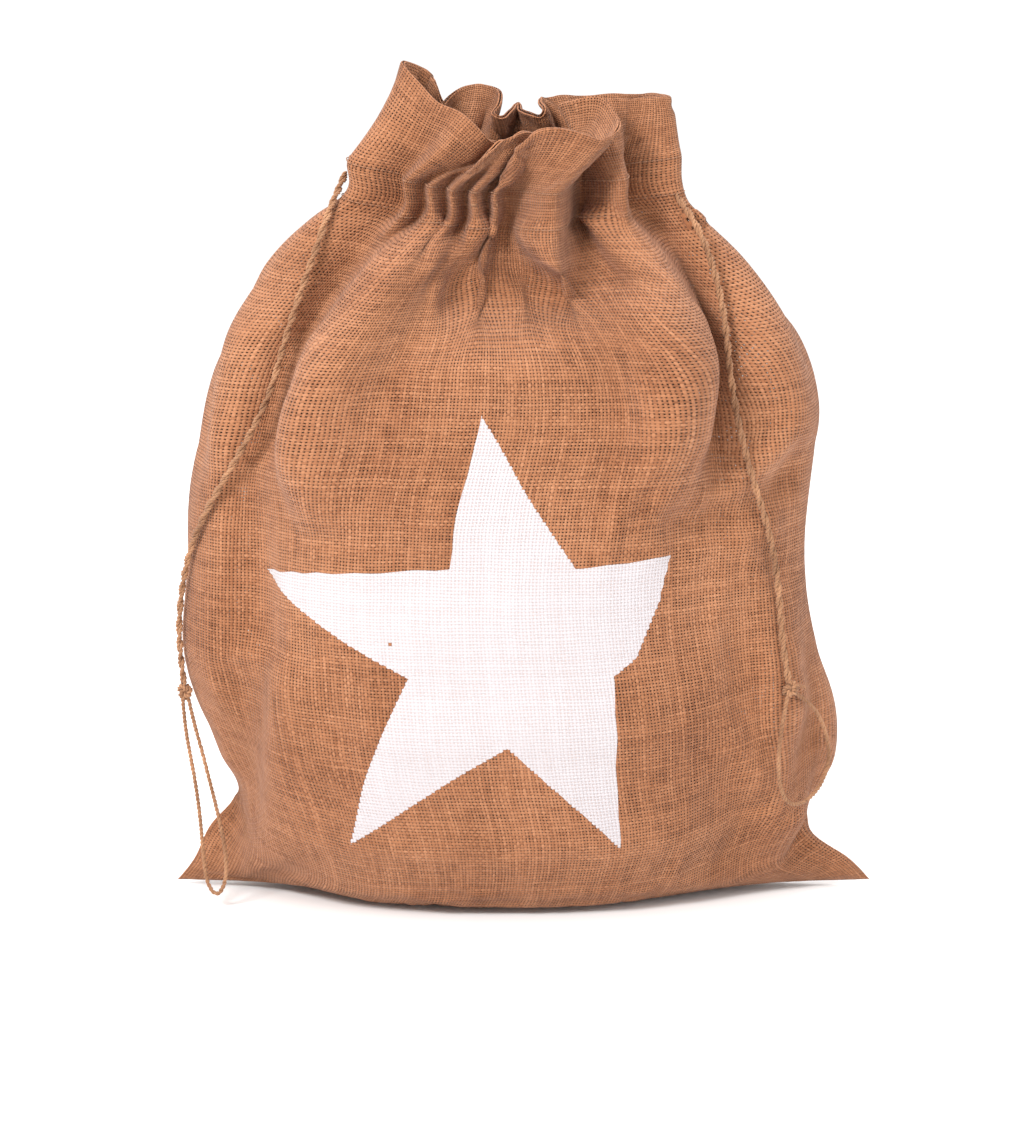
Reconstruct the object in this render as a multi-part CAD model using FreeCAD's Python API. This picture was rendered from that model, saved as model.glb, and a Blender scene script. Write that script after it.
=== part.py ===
"""A stuffed jute drawstring gift sack, standing on its base.

Millimetres, +Z up, +X to the sack's left-hand side as it faces -Y, origin on the floor under the
middle of its outline.  The cloth is two panels sewn at the sides and the bottom, with the top edge
folded inwards as a facing.  The facing and the panels hold a channel for two drawcords: one leaves
through the gap in the left side seam, the other through the gap in the right one.
"""

import FreeCAD
import Part
import math
import os

Vector = FreeCAD.Vector

# ---- cloth ----
cloth = 2.0                # wall of each panel
channel_gap = 4.0          # room between panel and facing
facing_cloth = 1.5         # wall of the folded-in facing
clearance = 0.1            # between layers of cloth that lie on each other
seam_width = 9.0           # how far a seam allowance stands inwards
seam_thickness = 2.4       # two layers of panel cloth, pressed flat

# ---- outline of the filled sack: height, left edge, right edge, half depth ----
outline = [
    (0, -172, 158, 60),
    (14, -184, 168, 80),
    (45, -184, 174, 92),
    (94, -179, 180, 97),
    (140, -196, 177, 98),
    (200, -200, 167, 98),
    (255, -199, 171, 96),
    (300, -191, 175, 90),
    (340, -176, 162, 80),
    (380, -154, 133, 66),
    (412, -124, 101, 52),
    (426, -100, 79, 44),
    (442, -99, 78, 44),
    (470, -94, 82, 50),
    (500, -90, 88, 58),
]
height = outline[-1][0]
half_length = 211.5        # from the middle to the tip of each bottom corner

# ---- bottom corners, which stand out past the filling as flat ears ----
ear_thickness = 5.0
ear_outlines = {
    -1: [(120, 0), (half_length - 6, 0), (half_length, 5), (192, 40), (183, 66), (120, 60)],
    1: [(120, 0), (half_length - 16, 0), (half_length, 14), (168, 34), (120, 34)],
}

# ---- channel and drawcords ----
channel_low, channel_high = 420.0, 444.0
facing_low = channel_low - 4
seam_top = facing_low - 2
neck_left, neck_right = -99.5, 78.5
neck_half_depth = 44.0
twine = 2.5                # diameter of one twine
pair = 4.6                 # diameter over two twines twisted together
twine_apart = 1.5          # from the middle of a pair to each of its twines
left_level, right_level = 436.0, 430.0
exit_width, exit_height = 9.0, 6.4
travel = 40.0              # how far a pull draws the cord out
stub_end = 2.0             # how far a cord's inner length stands out of its exit
ring_gap_angle = 10.0      # degrees each side of an exit where its own cord leaves the ring
knot_radius = 5.4
left_knot_centre = (-203.2, -18.1, 125.6)
right_knot_centre = (157, -57, 134.6)

# ---- threads ----
thread = 0.9
thread_proud = 0.3         # how far a thread stands off the panel
thread_corner = 0.4        # more, where a thread's straight runs cut across the curve

# ---- filling ----
filling_top = 335.0
filling_low = 12.0
filling_side, filling_front = cloth + seam_width + 2, cloth + 1.5
filling_crown = 14.0       # how much the top edge is rounded

# ---- star printed on the front ----
star_centre = (-22, 167)
star_radius, star_waist = 134.0, 57.0
star_lean = 4.0            # degrees
paint = 0.6

# ---- free cords: the middle of each pair, from the exit to the knot, then the loop ----
left_tail_route = [
    (-105, -2, 434), (-113, -26, 417), (-122, -43, 393), (-131, -51, 366), (-139, -60, 341),
    (-147, -66, 312), (-160, -63, 286), (-174, -56, 262), (-189, -44, 236), (-200, -28, 209),
    (-205.5, -19, 180), (-206.5, -17, 153), (-203.5, -18, 129),
]
left_loop_route = [
    (-204.6, -18.5, 122.5), (-203.5, -20, 106), (-200.5, -22.5, 89), (-197, -26, 71),
    (-194, -32, 51), (-192, -39, 31), (-189.5, -46, 14), (-183, -50, 7), (-177.5, -49, 17),
    (-178, -44, 34), (-182.5, -37, 53), (-188, -29, 72), (-193, -23.5, 90), (-198, -20, 107),
    (-201.4, -18, 122.5),
]
right_tail_route = [
    (84, -2, 428), (96, -21, 414), (106, -33, 394), (113, -46, 371), (117, -60, 346),
    (119, -68, 320), (124, -72, 293), (131, -71, 266), (140, -65, 239), (147, -57, 212),
    (150, -56, 185), (152, -58, 160), (156, -57, 138),
]
right_loop_route = [
    (159, -56.5, 132.5), (168, -49, 125), (176, -38, 114), (181.5, -27, 99), (183.5, -22, 84),
    (178, -30, 70), (168, -43, 62), (157, -54, 63), (151, -60, 76), (150, -62, 95),
    (152, -61, 113), (155.5, -58, 131.5),
]


def ring(level, left, right, half_depth):
    """A level ellipse between the two side edges."""
    middle = Vector((left + right) / 2, 0, level)
    ellipse = Part.Ellipse(middle, (right - left) / 2, half_depth)
    return Part.Wire([ellipse.toShape()])


def sack_body(inset, lowest=0.0):
    """The filled outline, drawn in by inset, as a solid that starts at the lowest height."""
    rings = [
        ring(max(level, lowest) if level == 0 else level, left + inset, right - inset, deep - inset)
        for level, left, right, deep in outline
    ]
    return Part.makeLoft(rings, True, True)


def slab(low, high, x_low=-400.0, x_high=400.0, y_low=-400.0, y_high=400.0):
    """A box between two heights."""
    return Part.makeBox(x_high - x_low, y_high - y_low, high - low, Vector(x_low, y_low, low))


def ears():
    """The two flat bottom corners, one solid each."""
    made = []
    for side, places in ear_outlines.items():
        corners = [Vector(side * x, -ear_thickness / 2, z) for x, z in places]
        face = Part.Face(Part.makePolygon(corners + corners[:1]))
        made.append(face.extrude(Vector(0, ear_thickness, 0)))
    return made


def exit_hole(side):
    """The gap in a side seam that a pair of cords leaves by."""
    level = left_level if side < 0 else right_level
    edge = neck_left if side < 0 else neck_right
    return slab(level - exit_height / 2, level + exit_height / 2, edge - 12, edge + 12,
                -exit_width / 2, exit_width / 2)


def rounded_path(points):
    """Straight runs joined by tangent arcs, each as large as its two runs allow, and the radii."""
    route = [Vector(*p) for p in points]
    edges, radii, start = [], [], route[0]
    for before, corner, after in zip(route, route[1:], route[2:]):
        back, onward = (before - corner), (after - corner)
        reach = 0.45 * min(back.Length, onward.Length)
        back.normalize()
        onward.normalize()
        turn = math.pi - back.getAngle(onward)
        radius = reach / math.tan(turn / 2)
        first, last = corner + back * reach, corner + onward * reach
        inward = back + onward
        inward.normalize()
        middle = corner + inward * (radius / math.cos(turn / 2) - radius)
        edges.append(Part.LineSegment(start, first).toShape())
        edges.append(Part.Arc(first, middle, last).toShape())
        radii.append(radius)
        start = last
    edges.append(Part.LineSegment(start, route[-1]).toShape())
    return Part.Wire(edges), radii


def tube(wire, diameter):
    """A round cord along a wire."""
    first = wire.Edges[0]
    start = first.valueAt(first.FirstParameter)
    direction = first.tangentAt(first.FirstParameter)
    section = Part.Wire([Part.makeCircle(diameter / 2, start, direction)])
    return wire.makePipeShell([section], True, False)


def free_cord(name, points, diameter):
    """A free cord's tube. Prints its tightest arc and how its volume compares with its length."""
    wire, radii = rounded_path(points)
    solid = tube(wire, diameter)
    expected = wire.Length * math.pi * diameter ** 2 / 4
    print(f"{name}: {wire.Length:.0f} mm long, smallest radius {min(radii):.1f} mm, "
          f"volume {solid.Volume / expected:.4f} of section times length")
    return solid


def part_ring(half_width, half_depth, level, start, end, corners):
    """Points along part of a level ellipse round the neck, between two angles in degrees."""
    middle = (neck_left + neck_right) / 2
    angles = [math.radians(start + (end - start) * k / corners) for k in range(corners + 1)]
    return [(middle + half_width * math.cos(a), half_depth * math.sin(a), level) for a in angles]


def channel_cord(level, open_side):
    """The length of a drawcord inside the channel, open where its own ends leave."""
    half_width = (neck_right - neck_left) / 2 - cloth - channel_gap / 2
    half_depth = neck_half_depth - cloth - channel_gap / 2
    start = (180 if open_side < 0 else 0) + ring_gap_angle
    points = part_ring(half_width, half_depth, level, start, start + 360 - 2 * ring_gap_angle, 34)
    return tube(rounded_path(points)[0], twine)


def cord_stubs(side):
    """The two twines that run through an exit, long enough to stay in it when pulled out."""
    level = left_level if side < 0 else right_level
    edge = neck_left if side < 0 else neck_right
    inner = edge - side * (travel + cloth + channel_gap)
    length = abs(edge + side * stub_end - inner)
    twines = [
        Part.makeCylinder(twine / 2, length, Vector(inner, y, level), Vector(side, 0, 0))
        for y in (-twine_apart, twine_apart)
    ]
    return Part.makeCompound(twines)


def knot(centre):
    """An overhand knot as a ball, a little taller than wide."""
    ball = Part.makeSphere(knot_radius)
    ball.translate(Vector(*centre))
    return ball


def half_ring_thread(level, front):
    """A sewing thread along the outside of one panel at a height."""
    left, right, deep = outline_at(level - thread * 0.7)
    stand_off = thread / 2 + thread_proud + thread_corner
    start = (180 if front else 0) + 20
    half_width, half_depth = (right - left) / 2 + stand_off, deep + stand_off
    points = part_ring(half_width, half_depth, level, start, start + 140, 20)
    return tube(rounded_path(points)[0], thread)


def outline_at(level):
    """Left edge, right edge and half depth of the outer cloth at a height."""
    section = outer.slice(Vector(0, 0, 1), level)[0].BoundBox
    return section.XMin, section.XMax, section.YMax


def seam_thread(side):
    """The thread up one side seam, on the inner edge of its allowance."""
    levels = [60, 94, 140, 200, 255, 300, 335, 385]
    inset = cloth + seam_width * 0.6
    points = []
    for level in levels:
        left, right, _ = outline_at(level)
        x = left + inset if side < 0 else right - inset
        points.append((x, seam_thickness / 2 + thread / 2 + 0.1, level))
    wire, _ = rounded_path(points)
    return tube(wire, thread)


def star_face():
    """The printed star's outline, standing upright in the middle plane."""
    corners = []
    for step in range(10):
        reach = star_radius if step % 2 == 0 else star_waist
        angle = math.radians(90 + star_lean + 36 * step)
        corners.append(Vector(star_centre[0] + reach * math.cos(angle), 0,
                              star_centre[1] + reach * math.sin(angle)))
    return Part.Face(Part.makePolygon(corners + corners[:1]))


def save(name, shape):
    """Writes one node as STEP."""
    shape.exportStep(f"parts/{name}.step")
    box = shape.optimalBoundingBox(False)
    print(f"{name}: {len(shape.Solids)} solid(s), valid {shape.isValid()}, "
          f"{box.XLength:.1f} x {box.YLength:.1f} x {box.ZLength:.1f} mm")


os.makedirs("parts", exist_ok=True)

outer = sack_body(0)
front_half = slab(-10, height + 10, y_high=0)
back_half = slab(-10, height + 10, y_low=0)
exits = [exit_hole(-1), exit_hole(1)]

# Panels: the outer shell with its two ears, open at the top, halved at the side seams.
shell = outer.fuse(ears()).cut(sack_body(cloth, cloth)).cut(Part.makeCompound(exits))
save("front_panel", shell.common(front_half))
save("back_panel", shell.common(back_half))

# Facings: the top edge folded inwards, with the channel between it and the panel.
folded = sack_body(cloth + clearance).cut(sack_body(cloth + channel_gap + facing_cloth))
channel = sack_body(0).cut(sack_body(cloth + channel_gap)).common(slab(channel_low, channel_high))
facing = folded.common(slab(facing_low, height)).cut(channel).cut(Part.makeCompound(exits))
save("front_facing", facing.common(front_half))
save("back_facing", facing.common(back_half))

# Seam allowances: two layers standing inwards at the sides and along the bottom.
allowance = sack_body(cloth + clearance, cloth + clearance).cut(
    sack_body(cloth + seam_width, cloth + seam_width))
middle_plane = dict(y_low=-seam_thickness / 2, y_high=seam_thickness / 2)
side_start = 20.0
save("left_side_seam", allowance.common(slab(side_start, seam_top, x_high=-60, **middle_plane)))
save("right_side_seam", allowance.common(slab(side_start, seam_top, x_low=60, **middle_plane)))
bottom_length = dict(x_low=-150, x_high=140)
save("bottom_seam", slab(cloth + clearance, cloth + seam_width, **bottom_length, **middle_plane))

# Sewing threads.
for name, front in (("front", True), ("back", False)):
    lines = [half_ring_thread(level, front) for level in (channel_low, channel_high)]
    save(f"{name}_channel_stitching", Part.makeCompound(lines))
save("left_seam_stitching", seam_thread(-1))
save("right_seam_stitching", seam_thread(1))

# Filling: a soft bundle that keeps the sack standing, below the free space under the neck.
levels = [(filling_low, 0.86), (filling_low + 14, 1.0)]
levels += [(level, 1.0) for level in (60, 94, 140, 200, 255, 300)]
levels += [(filling_top - filling_crown, 0.97), (filling_top, 0.86)]
rings = []
for level, share in levels:
    left, right, deep = outline_at(level)
    middle = (left + right) / 2
    half_width = ((right - left) / 2 - filling_side) * share
    rings.append(ring(level, middle - half_width, middle + half_width, (deep - filling_front) * share))
save("filling", Part.makeLoft(rings, True, True))

# Star: a film of paint on the front panel's outer face.
film = sack_body(-paint - 0.05, 0).cut(sack_body(-0.05, -5))
column = star_face().extrude(Vector(0, -200, 0))
save("star_print", film.common(column))

# Drawcords: inside the channel, through the exits, and hanging free to a knot and a loop.
save("left_cord_in_channel", channel_cord(left_level, -1))
save("right_cord_in_channel", channel_cord(right_level, 1))
save("left_cord_at_exit", cord_stubs(-1))
save("right_cord_at_exit", cord_stubs(1))
save("left_cord_tail", free_cord("left tail", left_tail_route, pair))
save("right_cord_tail", free_cord("right tail", right_tail_route, pair))
save("left_cord_loop", free_cord("left loop", left_loop_route, twine))
save("right_cord_loop", free_cord("right loop", right_loop_route, twine))
save("left_cord_knot", knot(left_knot_centre))
save("right_cord_knot", knot(right_knot_centre))

box = Part.makeCompound([shell, facing]).optimalBoundingBox(False)
print(f"sack without cords: x {box.XMin:.1f} to {box.XMax:.1f}, y {box.YMin:.1f} to {box.YMax:.1f}, "
      f"z {box.ZMin:.1f} to {box.ZMax:.1f}")
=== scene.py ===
import bpy
import bmesh
import math
import random
import numpy as np
from mathutils import Matrix, Vector, noise


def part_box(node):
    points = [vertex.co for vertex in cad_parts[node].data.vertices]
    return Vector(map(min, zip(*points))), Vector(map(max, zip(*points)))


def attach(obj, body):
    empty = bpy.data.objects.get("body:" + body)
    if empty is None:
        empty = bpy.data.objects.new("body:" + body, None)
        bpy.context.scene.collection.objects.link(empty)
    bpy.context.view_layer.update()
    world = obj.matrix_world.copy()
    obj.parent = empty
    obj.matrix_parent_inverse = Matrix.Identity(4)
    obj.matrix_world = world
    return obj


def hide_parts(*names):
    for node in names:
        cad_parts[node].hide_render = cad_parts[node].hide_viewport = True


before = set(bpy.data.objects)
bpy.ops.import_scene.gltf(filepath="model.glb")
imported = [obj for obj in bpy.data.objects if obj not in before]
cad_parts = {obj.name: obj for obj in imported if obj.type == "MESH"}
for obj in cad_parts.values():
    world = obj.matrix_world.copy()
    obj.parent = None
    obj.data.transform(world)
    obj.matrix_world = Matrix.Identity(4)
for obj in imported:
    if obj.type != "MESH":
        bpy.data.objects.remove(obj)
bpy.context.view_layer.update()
scene = bpy.context.scene
mm = 0.001
print("frame loaded")

# small helpers
def toMesh(bm, name):
    mesh = bpy.data.meshes.new(name)
    bm.to_mesh(mesh)
    bm.free()
    return mesh


def addObject(name, data):
    item = bpy.data.objects.new(name, data)
    scene.collection.objects.link(item)
    return item


def addPiece(name, mesh, material, node, body="sack"):
    piece = addObject(name, mesh)
    mesh.materials.clear()
    mesh.materials.append(material)
    for face in mesh.polygons:
        face.use_smooth = True
    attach(piece, body)
    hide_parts(*node.split())
    return piece


# camera
camera = {
    "aim": (-11.4 * mm, 0.0, 202.0 * mm),
    "elevation": 11.0,
    "distance": 2.2,
    "frameHeight": 672.6 * mm,      # what the picture's height takes in at the sack
    "sensor": 36.0,
}


def makeCamera(s):
    data = bpy.data.cameras.new("camera")
    cameraObject = addObject("camera", data)
    lift = math.radians(s["elevation"])
    back = Vector((0, -math.cos(lift), math.sin(lift)))
    cameraObject.location = Vector(s["aim"]) + back * s["distance"]
    cameraObject.rotation_mode = "QUATERNION"
    cameraObject.rotation_quaternion = (-back).to_track_quat("-Z", "Y")
    data.sensor_width = s["sensor"]
    data.lens = s["sensor"] * s["distance"] / s["frameHeight"]
    data.clip_end = 30
    scene.camera = cameraObject


makeCamera(camera)


class Nodes:
    # builds a material's nodes, with one short call for each
    def __init__(self, name):
        self.material = bpy.data.materials.new(name)
        self.material.use_nodes = True
        self.tree = self.material.node_tree
        self.shader = self.tree.nodes["Principled BSDF"]

    def link(self, value, socket):
        if isinstance(value, bpy.types.NodeSocket):
            self.tree.links.new(value, socket)
        else:
            socket.default_value = value

    def node(self, kind, inputs, **settings):
        made = self.tree.nodes.new("ShaderNode" + kind)
        for name, value in settings.items():
            setattr(made, name, value)
        for socket, value in inputs.items() if isinstance(inputs, dict) else enumerate(inputs):
            self.link(value, made.inputs[socket])
        return made

    def calc(self, operation, *values):
        return self.node("Math", values, operation=operation).outputs[0]

    def add(self, *values):
        return self.calc("ADD", *values)

    def less(self, *values):
        return self.calc("SUBTRACT", *values)

    def times(self, *values):
        return self.calc("MULTIPLY", *values)

    def vector(self, x, y, z=0.0):
        return self.node("CombineXYZ", (x, y, z)).outputs[0]

    def split(self, vector):
        return self.node("SeparateXYZ", (vector,)).outputs

    def noise(self, vector, scale, detail=2.0, rough=0.5):
        inputs = {"Vector": vector, "Scale": scale, "Detail": detail, "Roughness": rough}
        return self.node("TexNoise", inputs).outputs["Fac"]

    def chance(self, value, seed=0.0):
        node = self.node("TexWhiteNoise", {"W": self.add(value, seed)}, noise_dimensions="1D")
        return node.outputs["Value"]

    def mix(self, share, *colours):
        first, second = (c if isinstance(c, bpy.types.NodeSocket) else (*c, 1.0) for c in colours)
        inputs = {"Factor": share, "A": first, "B": second}
        return self.node("Mix", inputs, data_type="RGBA").outputs["Result"]

    def ramp(self, value, stops):
        node = self.node("ValToRGB", (value,))
        elements = node.color_ramp.elements
        while len(elements) < len(stops):
            elements.new(0.5)
        for element, (place, colour) in zip(elements, stops):
            element.position = place
            element.color = (*colour, 1.0)
        return node.outputs["Color"]

    def ease(self, value, low, high):
        inputs = {"Value": value, "From Min": low, "From Max": high}
        return self.node("MapRange", inputs, interpolation_type="SMOOTHSTEP").outputs["Result"]

    def bump(self, height, distance):
        node = self.node("Bump", {"Height": height, "Distance": distance})
        self.link(node.outputs["Normal"], self.shader.inputs["Normal"])

    def uv(self):
        return self.node("UVMap", (), uv_map="cloth").outputs["UV"]

    def finish(self, colour, roughness, **others):
        self.link(colour, self.shader.inputs["Base Color"])
        self.shader.inputs["Roughness"].default_value = roughness
        for name, value in others.items():
            self.shader.inputs[name.replace("_", " ")].default_value = value


# jute cloth
jute = {
    "warpPitch": 2.16 * mm,
    "weftPitch": 1.92 * mm,
    "warpWidth": 0.69,              # of the pitch
    "weftWidth": 0.70,
    "widthSpread": 0.20,
    "wander": 0.45,                 # of a pitch
    "light": (0.480, 0.220, 0.112),
    "mid": (0.350, 0.143, 0.065),
    "dark": (0.195, 0.066, 0.025),
    # painted shade: the near-black colour that the low parts of the weave and the holes between the yarns are
    # darkened to
    "gap": (0.030, 0.008, 0.002),
    "print": (0.540, 0.500, 0.512),
    "relief": 0.60 * mm,
    # the star, in mm from the panel's middle and up the cloth: its waist corners, and each arm's points
    "waists": [(-25, 291), (51, 292), (71, 227), (3, 187), (-52, 227)],
    "arms": [
        [(-20, 380)], [(112, 296), (105, 269), (87, 237)], [(64, 122)], [(-111, 123)],
        [(-85, 243), (-156, 281), (-105, 286)],
    ],
}


def starMask(n, across, up):
    # inside the middle pentagon, or inside one of the five arms
    place = n.vector(across, up, 1.0)

    def insideOf(corners):
        worst = None
        for first, second in zip(corners, corners[1:] + corners[:1]):
            normal = Vector((first[1] - second[1], second[0] - first[0])).normalized()
            offset = (normal.x * first[0] + normal.y * first[1]) * mm
            values = place, (-normal.x, -normal.y, offset)
            side = n.node("VectorMath", values, operation="DOT_PRODUCT").outputs["Value"]
            worst = side if worst is None else n.calc("MINIMUM", worst, side)
        return worst

    waists = jute["waists"]
    inside = insideOf(waists)
    for k, arm in enumerate(jute["arms"]):
        inside = n.calc("MAXIMUM", inside, insideOf([waists[k]] + arm + [waists[(k + 1) % 5]]))
    return n.calc("GREATER_THAN", inside, 0.0)


def juteCloth(name, printed=False):
    s = jute
    n = Nodes(name)
    flat = n.uv()

    def wander(vector):
        return n.times(n.less(n.noise(vector, 30.0), 0.5), s["wander"] * 2)

    shifted = n.node("VectorMath", (flat, (3.7, 1.9, 0.4)), operation="ADD").outputs[0]
    across, up, _ = n.split(flat)
    u = n.add(n.calc("DIVIDE", across, s["warpPitch"]), wander(flat))
    v = n.add(n.calc("DIVIDE", up, s["weftPitch"]), wander(shifted))
    warp, weft = n.calc("FLOOR", u), n.calc("FLOOR", v)
    offU = n.less(n.calc("FRACT", u), 0.5)
    offV = n.less(n.calc("FRACT", v), 0.5)

    def yarn(index, off, along, width, seed):
        # how far across the yarn a point is, and the yarn's own shade
        slub = n.noise(n.vector(n.times(index, 0.73), n.times(along, 70.0), seed), 1.0, 3.0, 0.6)
        least = width - s["widthSpread"] * 1.05
        spread = n.calc("MULTIPLY_ADD", n.chance(index, seed), s["widthSpread"], least)
        wide = n.calc("MULTIPLY_ADD", slub, 0.55, n.less(spread, 0.14))
        part = n.calc("DIVIDE", n.times(off, 2.0), wide)
        rounded = n.calc("SQRT", n.calc("MAXIMUM", n.less(1.0, n.times(part, part)), 0.0))
        return rounded, n.calc("MULTIPLY_ADD", slub, 0.8, n.times(n.chance(index, seed + 9.5), 0.22))

    warpRound, warpShade = yarn(warp, offU, up, s["warpWidth"], 1.5)
    weftRound, weftShade = yarn(weft, offV, across, s["weftWidth"], 4.5)
    turn = n.calc("PINGPONG", n.add(warp, weft), 1.0)
    over = n.calc("MULTIPLY_ADD", turn, 2.0, -1.0)
    wave = 0.55
    warpRise = n.times(n.calc("COSINE", n.times(offV, math.pi)), n.times(over, wave))
    weftRise = n.times(n.calc("COSINE", n.times(offU, math.pi)), n.times(over, -wave))
    away = -2.0
    warpThere, weftThere = n.calc("GREATER_THAN", warpRound, 0.02), n.calc("GREATER_THAN", weftRound, 0.02)

    def surface(rise, rounded, there):
        high = n.add(rise, rounded)
        return n.add(n.times(high, there), n.times(n.less(1.0, there), away))

    warpTop, weftTop = surface(warpRise, warpRound, warpThere), surface(weftRise, weftRound, weftThere)
    height = n.calc("MAXIMUM", warpTop, weftTop)
    onWarp = n.calc("GREATER_THAN", warpTop, weftTop)
    fibreWarp = n.noise(n.vector(n.times(across, 5200.0), n.times(up, 700.0)), 1.0, 2.0)
    fibreWeft = n.noise(n.vector(n.times(across, 700.0), n.times(up, 5200.0), 5.0), 1.0, 2.0)

    def choose(first, second):
        return n.add(n.times(first, onWarp),
                      n.times(second, n.less(1.0, onWarp)))

    fibre = choose(fibreWarp, fibreWeft)
    patch = n.noise(flat, 9.0, 3.0, 0.55)
    tone = n.add(n.times(choose(warpShade, weftShade), 0.62),
                  n.add(n.times(fibre, 0.30), n.calc("MULTIPLY_ADD", patch, 0.5, -0.22)))
    colour = n.ramp(tone, [(0.27, s["dark"]), (0.50, s["mid"]), (0.74, s["light"])])
    # painted shade: where yarns dip under one another or leave holes, the colour darkens towards the gap
    # colour in place of the shade in the weave's hollows
    depth = n.ease(height, -0.25, 0.95)
    colour = n.mix(depth, s["gap"], colour)
    alpha = n.calc("MAXIMUM", warpThere, weftThere)
    relief = n.add(n.times(n.calc("MAXIMUM", height, -0.6), 0.8), n.times(fibre, 0.12))
    if printed:
        # the print stops at whole yarns, so its edge steps with the weave
        stepU = n.times(n.add(warp, 0.5), s["warpPitch"])
        stepV = n.times(n.add(weft, 0.5), s["weftPitch"])
        edgeU = n.add(n.times(stepU, 0.45), n.times(across, 0.55))
        edgeV = n.add(n.times(stepV, 0.45), n.times(up, 0.55))
        star = starMask(n, edgeU, edgeV)
        worn = n.calc("GREATER_THAN", n.chance(n.calc("MULTIPLY_ADD", warp, 37.7, weft), 2.5), 0.0004)
        paint = n.times(star, worn)
        white = n.mix(n.times(n.less(1.0, depth), 0.34), s["print"], s["light"])
        colour = n.mix(paint, colour, white)
        alpha = n.calc("MAXIMUM", alpha, paint)
        relief = n.times(relief, n.calc("MULTIPLY_ADD", paint, -0.30, 1.0))
    n.link(alpha, n.shader.inputs["Alpha"])
    n.finish(colour, 0.92, Specular_IOR_Level=0.22, Sheen_Weight=0.12, Sheen_Roughness=0.5)
    n.bump(relief, s["relief"])
    return n.material


frontCloth = juteCloth("juteFront", printed=True)
plainCloth = juteCloth("jutePlain")
print("cloth materials made")


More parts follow.
